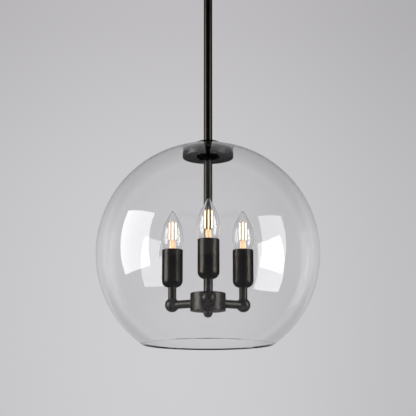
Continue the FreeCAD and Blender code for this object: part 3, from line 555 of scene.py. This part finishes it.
def blown_glass():
    """Mouth-blown soda-lime glass, fire polished: clear, a little grey where it is seen edge
    on, with slow waves left by the blowing."""
    globe = settings().globe
    material, tree, shader, place = new_material("blown_glass", {
        "Base Color": (1.0, 1.0, 1.0, 1.0), "Roughness": 0.0, "IOR": 1.5,
        "Transmission Weight": 1.0})
    waves = noise(tree, place, 70.0, detail=1.0)
    bumped(tree, shader, waves, globe.ripple)
    lets_light_by(tree, shader)
    smoke = put(tree, "ShaderNodeVolumeAbsorption", {"Color": linear(globe.tint),
                                                     "Density": globe.smoke})
    output = tree.nodes["Material Output"]
    tree.links.new(smoke.outputs["Volume"], output.inputs["Volume"])
    return material


def lamp_glass_finish():
    """Thin machine-blown lamp glass: clear, with barely any wave."""
    material, tree, shader, place = new_material("lamp_glass", {
        "Base Color": (1.0, 1.0, 1.0, 1.0), "Roughness": 0.0, "IOR": 1.47,
        "Transmission Weight": 1.0})
    bumped(tree, shader, noise(tree, place, 16.0, detail=1.0), 0.02 * MM)
    lets_light_by(tree, shader)
    return material


def stem_glass_painted_glow_finish():
    """Pressed stem glass: clear, with a warm tint and a faint warm emission that paint a glow onto
    it, standing in for the filaments' light piped down it.
    """
    material, tree, shader, place = new_material("stem_glass", {
        "Base Color": linear("#fff1dc"), "Roughness": 0.12, "IOR": 1.5,
        "Transmission Weight": 0.75, "Emission Color": linear("#ffc98a"),
        "Emission Strength": 0.35})
    bumped(tree, shader, noise(tree, place, 2.5, detail=2.0), 0.15 * MM)
    return material


def phosphor_finish():
    """Silicone loaded with phosphor over a strip of diodes: lit warm white, a touch brighter
    over each diode."""
    lamp = settings().lamp
    material, tree, shader, place = new_material("lit_phosphor", {
        "Base Color": linear("#ffe2a8"), "Roughness": 0.6})
    beads = put(tree, "ShaderNodeTexNoise", {"Vector": place, "Scale": per_mm(1.6)})
    warm = colour_mix(tree, beads.outputs["Fac"], lamp.glow_colour, "#ffe6c0")
    tree.links.new(warm, shader.inputs["Emission Color"])
    shader.inputs["Emission Strength"].default_value = lamp.glow
    return material


def plated_finish(name, dark, light, roughness, grain, depth):
    """Plated or turned metal: a fine grain and slow changes of tone."""
    material, tree, shader, place = new_material(name, {"Metallic": 1.0})
    stretched = put(tree, "ShaderNodeMapping", {"Vector": place, "Scale": (1.0, 1.0, 0.15)})
    fine = noise(tree, stretched.outputs["Vector"], grain, detail=2.0)
    slow = noise(tree, place, 9.0)
    tree.links.new(colour_mix(tree, slow, dark, light), shader.inputs["Base Color"])
    tree.links.new(rough_range(tree, fine, roughness - 0.06, roughness + 0.08),
                   shader.inputs["Roughness"])
    bumped(tree, shader, fine, depth)
    return material


def moulded_finish(name, dark, light, roughness, grain, depth, principled=None):
    """Moulded plastic or rubber: one colour with slight drift and a spark-eroded grain."""
    material, tree, shader, place = new_material(name, principled or {})
    fine = noise(tree, place, grain, detail=2.0)
    slow = noise(tree, place, 12.0)
    tree.links.new(colour_mix(tree, slow, dark, light), shader.inputs["Base Color"])
    tree.links.new(rough_range(tree, fine, roughness - 0.05, roughness + 0.05),
                   shader.inputs["Roughness"])
    bumped(tree, shader, fine, depth)
    return material


FINISHES = {
    "black_bronze": bronze_lacquer,
    "clear_glass": blown_glass,
    "lamp_glass": lamp_glass_finish,
    # Painted glow: the stem glass is tinted warm and emits a faint warm light of its own.
    "stem_glass": stem_glass_painted_glow_finish,
    "filament": phosphor_finish,
    # Zinc-plated steel, tumbled: pale, slightly blue, with a brushed grain.
    "zinc_steel": lambda: plated_finish("zinc_plated_steel", "#9a9da1", "#b9bcc0",
                                        roughness=0.34, grain=0.5, depth=0.006 * MM),
    # Drawn brass, left bare: warm yellow, dulled by handling.
    "brass": lambda: plated_finish("drawn_brass", "#a98545", "#c9a55c",
                                   roughness=0.30, grain=0.6, depth=0.006 * MM),
    # Nickel-plated brass, rolled: bright and faintly yellow.
    "nickel": lambda: plated_finish("nickel_plate", "#b3aea4", "#cfcac0",
                                    roughness=0.22, grain=0.6, depth=0.004 * MM),
    # Tin solder, chilled from the melt: grey and dimpled.
    "solder": lambda: plated_finish("tin_solder", "#85868a", "#a5a6a9",
                                    roughness=0.42, grain=0.9, depth=0.03 * MM),
    # Nylon 66, moulded: off-white and waxy.
    "nylon": lambda: moulded_finish("moulded_nylon", "#d6d3ca", "#e4e1d8", roughness=0.42,
                                    grain=0.5, depth=0.01 * MM,
                                    principled={"Subsurface Weight": 0.05}),
    # Glass-filled PBT of a lamp holder: black and matt.
    "holder_plastic": lambda: moulded_finish("lamp_holder_pbt", "#0e0e0e", "#1a1a1a",
                                             roughness=0.5, grain=0.4, depth=0.02 * MM),
    # PVC wire insulation: smooth, slightly glossy.
    "lead_insulation": lambda: moulded_finish("wire_pvc", "#2c2b2a", "#454240",
                                              roughness=0.38, grain=1.2, depth=0.01 * MM),
    # Black silicone seal: matt and soft, so the crown of the glass looks dark from below.
    "silicone": lambda: moulded_finish("silicone_seal", "#1b1b1c", "#29292a",
                                       roughness=0.6, grain=0.8, depth=0.02 * MM),
    # Insulating glass at a lamp's foot: black and shiny.
    "insulator": lambda: moulded_finish("black_vitrite", "#0a0a0b", "#151516",
                                        roughness=0.12, grain=1.5, depth=0.01 * MM),
}
made = {}


def finish(name):
    """A finish by its name, made the first time it is asked for."""
    if name not in made:
        made[name] = FINISHES[name]()
    return made[name]


# ------------------------------------------------------------------ operators
class PENDANT_OT_metal(bpy.types.Operator):
    """Gives every piece kept from the frame the finish of its own slot."""
    bl_idname = "pendant.metal"
    bl_label = "Finish the frame's pieces"

    def execute(self, context):
        for entry in frame["record"]["subparts"]:
            obj = frame["nodes"][entry["node"]]
            if obj.hide_render:
                continue
            obj.data.materials.clear()
            obj.data.materials.append(finish(entry["material_slot"]))
        return {"FINISHED"}


class PENDANT_OT_globe(bpy.types.Operator):
    """Blows the clear globe with its fire-polished rim."""
    bl_idname = "pendant.globe"
    bl_label = "Globe"

    def execute(self, context):
        globe = settings().globe
        axis, radius, _, _ = node_place("glass_shade")
        middle = globe_middle()
        lower = radius - globe.draw_in
        half = globe.wall / 2
        rim = globe.mouth - half - globe.draw_in
        lean = math.degrees(math.acos(rim / (lower - half)))
        crown = math.degrees(math.acos(globe.hole / radius))
        hole_in = globe.hole + HOLE_FLARE
        crown_in = math.degrees(math.acos(hole_in / (radius - globe.wall)))
        outline = arc(0, middle + globe.waist, radius, crown, 0, CROWN_STEPS)
        outline += arc(globe.draw_in, middle, lower, 0, -lean, BELLY_STEPS)
        rim_r = globe.draw_in + (lower - half) * math.cos(math.radians(lean))
        rim_z = middle - (lower - half) * math.sin(math.radians(lean))
        outline += arc(rim_r, rim_z, half, -lean, -lean - 180, RIM_STEPS)[1:]
        outline += arc(globe.draw_in, middle, lower - globe.wall, -lean, 0,
                       BELLY_STEPS)[1:]
        outline += arc(0, middle + globe.waist, radius - globe.wall, 0, crown_in,
                       CROWN_STEPS)
        obj = lathe("blown_globe", outline, axis, GLOBE_ROUND)
        hand_over(obj, finish("clear_glass"), "stem", "clear_glass", "glass_shade")
        return {"FINISHED"}


class PENDANT_OT_sockets(bpy.types.Operator):
    """Draws the deep round-footed cups with a rolled lip."""
    bl_idname = "pendant.sockets"
    bl_label = "Socket cups"

    wall: FloatProperty(name="Wall", description="Thickness of a cup", default=1.2 * MM,
                        unit="LENGTH")
    foot: FloatProperty(name="Foot radius", description="Rounding of a cup's foot",
                        default=11 * MM, unit="LENGTH")
    hole: FloatProperty(name="Hole", description="Radius of the hole for the riser",
                        default=4.1 * MM, unit="LENGTH")

    def execute(self, context):
        for n in range(1, ARMS + 1):
            name = f"socket_cup_{n}"
            axis, radius, low, top = node_place(name)
            inner = radius - self.wall
            flat = radius - self.foot
            lip = self.wall / 2
            outline = [(self.hole, low), (flat, low)]
            outline += arc(flat, low + self.foot, self.foot, -90, 0, FOOT_STEPS)[1:]
            outline += arc(radius - lip, top - lip, lip, 0, 180, LIP_STEPS)
            outline += arc(flat, low + self.foot, self.foot - self.wall, 0, -90,
                           FOOT_IN_STEPS)
            outline.append((self.hole, low + self.wall))
            hand_over(lathe(f"drawn_cup_{n}", outline, axis), finish("black_bronze"), "stem",
                      "black_bronze", name)
        return {"FINISHED"}


class PENDANT_OT_lamp_glass(bpy.types.Operator):
    """Blows the candle lamps' clear bulbs, each drawn to a tip."""
    bl_idname = "pendant.lamp_glass"
    bl_label = "Lamp glass"

    neck: FloatProperty(name="Neck", description="Radius of the neck", default=8 * MM,
                        unit="LENGTH")
    widest: FloatProperty(name="Widest", description="Widest part's height above the foot",
                          default=30.8 * MM, unit="LENGTH")

    def candle(self, radius, foot, top, inset):
        """The bulb's half outline from its neck to its tip, inset from the outer face."""
        wide_z = foot + self.widest
        reach = top - wide_z
        swell = [(share * radius - thin * inset, wide_z + up * reach)
                 for share, thin, up in BULB_LINE]
        return [(self.neck - inset, foot + NECK_H), *swell, (0.0, top - TIP_WALLS * inset)]

    def execute(self, context):
        wall = settings().lamp.wall
        for n in range(1, ARMS + 1):
            name = f"lamp_glass_{n}"
            axis, radius, foot, top = node_place(name)
            outline = [(self.neck, foot)]
            outline += smooth_line(self.candle(radius, foot, top, 0.0), BULB_STEPS)
            inside = smooth_line(self.candle(radius, foot, top, wall), BULB_STEPS)
            outline += list(reversed(inside)) + [(self.neck - wall, foot)]
            obj = lathe(f"candle_bulb_{n}", outline, axis, BULB_ROUND)
            hand_over(obj, finish("lamp_glass"), f"lamp_{n}", "lamp_glass", name)
        return {"FINISHED"}


class PENDANT_OT_filaments(bpy.types.Operator):
    """Mounts the lit filaments on a pressed glass stem with their wires."""
    bl_idname = "pendant.filaments"
    bl_label = "Filaments and stem"

    wire: FloatProperty(name="Wire radius", description="Radius of the support wires",
                        default=0.28 * MM, unit="LENGTH")
    pinch: FloatProperty(name="Pinch", description="Half width of the pressed stem",
                         default=4.6 * MM, unit="LENGTH")
    pinch_depth: FloatProperty(name="Pinch depth", description="Half thickness of the stem",
                               default=1.9 * MM, unit="LENGTH")

    def stem(self, name, axis, foot, top):
        """The pressed glass stem: round at its foot, pinched flat at its top."""
        levels = [(foot + up * MM, a * MM, b * MM) for up, a, b in STEM_FOOT]
        waist, deeper = STEM_WAIST
        levels.append((foot + waist * MM, self.pinch, self.pinch_depth * deeper))
        levels += [(top - down * MM, self.pinch * wide, self.pinch_depth * deep)
                   for down, wide, deep in STEM_TOP]
        obj = loft(name, levels, axis)
        # The stem's finish paints a warm glow onto the glass, by tint and emission.
        obj.data.materials.append(finish("stem_glass"))
        return obj

    def wires(self, name, axis, low, high, stem_top):
        """Lead wires below, and a hooked star above that ties the filaments together."""
        lamp = settings().lamp
        paths = []
        for k in range(lamp.filaments):
            angle = 2 * math.pi * k / lamp.filaments
            out = Vector((math.cos(angle), math.sin(angle), 0)) * lamp.ring_radius
            root = axis + out * ROOT_SHARE + Vector((0, 0, stem_top - ROOT_DEPTH))
            bend = axis + out * BEND_SHARE + Vector((0, 0, stem_top + BEND_H))
            end = axis + out + Vector((0, 0, low + WIRE_LAP))
            paths.append([root, bend, end])
            upper = axis + out + Vector((0, 0, high - WIRE_LAP))
            crown = axis + out * CROWN_SHARE + Vector((0, 0, high + CROWN_H))
            paths.append([upper, crown, axis + Vector((0, 0, high + HUB_H))])
        obj = wire_piece(name, paths, self.wire)
        obj.data.materials.append(finish("nickel"))
        return obj

    def execute(self, context):
        lamp = settings().lamp
        tree = filament_tree()
        for n in range(1, ARMS + 1):
            name = f"filament_mount_{n}"
            axis, _, low, high = node_place(name)
            rods_high = high - RODS_DROP
            rods_low = rods_high - lamp.filament_length
            stem_top = rods_low - RODS_RISE
            stem = self.stem(f"stem_{n}", axis, low, stem_top)
            wires = self.wires(f"star_wires_{n}", axis, rods_low, rods_high, stem_top)
            centre = axis + Vector((0, 0, (rods_low + rods_high) / 2))
            rods = run_tree(f"filaments_{n}", tree, {
                "Count": lamp.filaments, "Ring Radius": lamp.ring_radius,
                "Rod Radius": lamp.filament_radius, "Rod Length": lamp.filament_length,
                "Centre": centre, "Phosphor": finish("filament")})
            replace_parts(hand_over(rods, None, f"lamp_{n}", "filament"), name)
            hand_over(stem, None, f"lamp_{n}", "lamp_glass")
            hand_over(wires, None, f"lamp_{n}", "nickel")
        return {"FINISHED"}


class PENDANT_OT_lamp_bases(bpy.types.Operator):
    """Rolls the screw bases: insulator, threaded shell and the collar round the glass."""
    bl_idname = "pendant.lamp_bases"
    bl_label = "Lamp bases"

    core: FloatProperty(name="Core", description="Radius at the thread's root",
                        default=6.25 * MM, unit="LENGTH")
    ridge: FloatProperty(name="Ridge", description="Radius of the rolled thread's ridge",
                         default=0.62 * MM, unit="LENGTH")
    collar: FloatProperty(name="Collar", description="Height of the collar", default=4 * MM,
                          unit="LENGTH")
    insulator: FloatProperty(name="Insulator", description="Height of the insulator",
                             default=2.2 * MM, unit="LENGTH")
    seat: FloatProperty(name="Seat", description="Gap between the insulator and the button",
                        default=0.06 * MM, unit="LENGTH")

    def execute(self, context):
        lamp = settings().lamp
        tree = thread_tree()
        for n in range(1, ARMS + 1):
            name = f"lamp_base_{n}"
            axis, radius, low, top = node_place(name)
            shell_low = low + self.insulator
            collar_low = top - self.collar
            outline = [(0, shell_low), (self.core, shell_low), (self.core, collar_low)]
            outline += corner(radius, collar_low, COLLAR_FOOT_CORNER, 270)
            outline += corner(radius, top, COLLAR_TOP_CORNER, 0)
            bore, floor = radius - COLLAR_WALL, collar_low + COLLAR_FLOOR
            outline += [(bore, top), (bore, floor), (0, floor)]
            shell = lathe(f"shell_{n}", outline, axis, BASE_ROUND)
            shell.data.materials.append(finish("nickel"))
            rise = collar_low - shell_low - THREAD_SPARE
            thread = run_tree(f"thread_{n}", tree, {
                "Turns": rise / lamp.pitch, "Radius": self.core, "Height": rise,
                "Ridge": self.ridge, "Foot": axis + Vector((0, 0, shell_low + THREAD_FOOT)),
                "Metal": finish("nickel")})
            foot = low + self.seat
            cone = lathe(f"insulator_{n}", [
                (0, foot), (CONE_FOOT_R, foot), (CONE_EDGE_R, low + CONE_EDGE_H),
                (self.core - CONE_INSET, shell_low), (0, shell_low)], axis, BASE_ROUND)
            cone.data.materials.append(finish("insulator"))
            hand_over(joined(f"screw_base_{n}", shell, thread, cone), None, f"lamp_{n}", "nickel",
                      name)
        return {"FINISHED"}


class PENDANT_OT_stage(bpy.types.Operator):
    """Sets the floor, the backdrop's light, the softboxes and the camera."""
    bl_idname = "pendant.stage"
    bl_label = "Studio"

    def softbox(self, name, azimuth, elevation, distance, size, power, mirrored):
        """A softbox that faces the globe; azimuth is from the camera's side, to its left."""
        target = Vector((0, 0, globe_middle()))
        a, e = math.radians(azimuth), math.radians(elevation)
        way = Vector((-math.sin(a) * math.cos(e), -math.cos(a) * math.cos(e), math.sin(e)))
        light = bpy.data.lights.new(name, "AREA")
        light.shape = "RECTANGLE"
        light.size, light.size_y = size
        light.energy = power
        lamp = bpy.data.objects.new(name, light)
        lamp.location = target + way * distance
        lamp.rotation_euler = way.to_track_quat("Z", "Y").to_euler()
        lamp.visible_camera = False
        lamp.visible_transmission = False
        lamp.visible_glossy = mirrored
        bpy.context.scene.collection.objects.link(lamp)

    def backdrop(self, stage):
        """A pale paper surround, brightest behind the light. Mirrored rays see another one, a
        darker and less even room, so that the glass shows streaks and dark stretches."""
        world = bpy.data.worlds.new("studio_surround")
        bpy.context.scene.world = world
        world.use_nodes = True
        tree = world.node_tree
        tree.nodes.clear()
        way = put(tree, "ShaderNodeTexCoord").outputs["Generated"]
        way = put(tree, "ShaderNodeSeparateXYZ", {"Vector": way}).outputs
        upright = self.ramp(tree, way["Z"], REACH_UP, stage.tones_up)
        across = self.ramp(tree, way["X"], REACH_ACROSS, stage.tones_across)
        depth = self.ramp(tree, way["Y"], REACH_WHOLE, stage.tones_depth)
        paper = self.times(tree, self.times(tree, upright, across), depth)
        path = put(tree, "ShaderNodeLightPath")
        mirror = put(tree, "ShaderNodeMath", {0: path.outputs["Is Glossy Ray"],
                                              1: path.outputs["Is Reflection Ray"]},
                     operation="MULTIPLY")
        room = self.times(tree, self.ramp(tree, way["Y"], REACH_WHOLE, stage.tones_mirrored),
                          self.ramp(tree, way["Z"], REACH_WHOLE, stage.tones_mirrored_up))
        seen = put(tree, "ShaderNodeMix", {0: mirror.outputs["Value"], 6: paper,
                                           7: room}, data_type="RGBA")
        glow = put(tree, "ShaderNodeBackground", {"Color": seen.outputs[2], "Strength": 1.0})
        put(tree, "ShaderNodeOutputWorld", {"Surface": glow.outputs["Background"]})

    def times(self, tree, one, other):
        """Two colours multiplied."""
        return put(tree, "ShaderNodeMix", {0: 1.0, 6: one, 7: other}, data_type="RGBA",
                   blend_type="MULTIPLY").outputs[2]

    def ramp(self, tree, value, reach, tones):
        """A smooth run of greys over a range: tones are (place 0 to 1, hex) pairs."""
        share = put(tree, "ShaderNodeMapRange", {"Value": value, "From Min": reach[0],
                                                 "From Max": reach[1]})
        ramp = put(tree, "ShaderNodeValToRGB", {"Fac": share.outputs["Result"]})
        ramp.color_ramp.interpolation = "B_SPLINE"
        stops = ramp.color_ramp.elements
        pairs = [pair.split(":") for pair in tones.split()]
        while len(stops) < len(pairs):
            stops.new(0.5)
        for stop, (place, tone) in zip(stops, pairs):
            stop.position = float(place)
            stop.color = linear(tone)
        return ramp.outputs["Color"]

    def floor(self, stage):
        """A plain painted floor, well below the light."""
        bm = bmesh.new()
        bmesh.ops.create_grid(bm, x_segments=2, y_segments=2, size=FLOOR_HALF)
        bmesh.ops.translate(bm, verts=bm.verts, vec=(0, 0, -stage.floor_drop))
        obj = finish_mesh("studio_floor", bm)
        material, tree, shader, place = new_material("painted_floor", {"Roughness": 0.7})
        drift = noise(tree, place, 400.0)
        tone = colour_mix(tree, drift, stage.floor, "#dedde0")
        tree.links.new(tone, shader.inputs["Base Color"])
        obj.data.materials.append(material)
        obj.visible_glossy = False

    def camera(self, stage):
        """A camera in front of the light and below it, tipped up a little."""
        view = bpy.data.cameras.new("camera")
        view.lens = stage.lens
        view.sensor_width = SENSOR_MM
        view.clip_end = FAR_CLIP
        camera = bpy.data.objects.new("camera", view)
        a = math.radians(AZIMUTH_OF_VIEW)
        camera.location = (stage.distance * math.sin(a), -stage.distance * math.cos(a),
                           globe_middle() - stage.drop)
        camera.rotation_euler = (math.radians(90 + stage.pitch), 0, a)
        bpy.context.scene.collection.objects.link(camera)
        bpy.context.scene.camera = camera

    def execute(self, context):
        stage = settings().stage
        context.scene.view_settings.view_transform = "Standard"
        self.camera(stage)
        self.backdrop(stage)
        self.floor(stage)
        for name, azimuth, elevation, distance, size, power, mirrored in SOFTBOXES:
            self.softbox(name, azimuth, elevation, distance, size, getattr(stage, power), mirrored)
        return {"FINISHED"}


class PENDANT_PT_panel(bpy.types.Panel):
    """Lists the light's pieces and their settings in the sidebar."""
    bl_label = "Pendant"
    bl_idname = "PENDANT_PT_panel"
    bl_space_type = "VIEW_3D"
    bl_region_type = "UI"
    bl_category = "Pendant"

    def draw(self, context):
        layout = self.layout
        for operator in OPERATORS:
            layout.operator(operator.bl_idname)
        for group in ("globe", "lamp", "metal", "stage"):
            values = getattr(context.scene.globe_pendant, group)
            column = layout.column(heading=group.title())
            for name in values.__annotations__:
                column.prop(values, name)


GROUPS = (GlobeSettings, LampSettings, MetalSettings, StageSettings, PendantSettings)
OPERATORS = (PENDANT_OT_stage, PENDANT_OT_globe, PENDANT_OT_sockets, PENDANT_OT_lamp_glass,
             PENDANT_OT_filaments, PENDANT_OT_lamp_bases, PENDANT_OT_metal)


def register():
    for item in GROUPS + OPERATORS + (PENDANT_PT_panel,):
        bpy.utils.register_class(item)
    bpy.types.Scene.globe_pendant = PointerProperty(type=PendantSettings)


def unregister():
    del bpy.types.Scene.globe_pendant
    for item in reversed(GROUPS + OPERATORS + (PENDANT_PT_panel,)):
        bpy.utils.unregister_class(item)


def main():
    register()
    bpy.ops.pendant.stage()
    bpy.ops.pendant.globe()
    bpy.ops.pendant.sockets()
    bpy.ops.pendant.lamp_glass()
    bpy.ops.pendant.filaments()
    bpy.ops.pendant.lamp_bases()
    bpy.ops.pendant.metal()


if __name__ == "__main__":
    main()
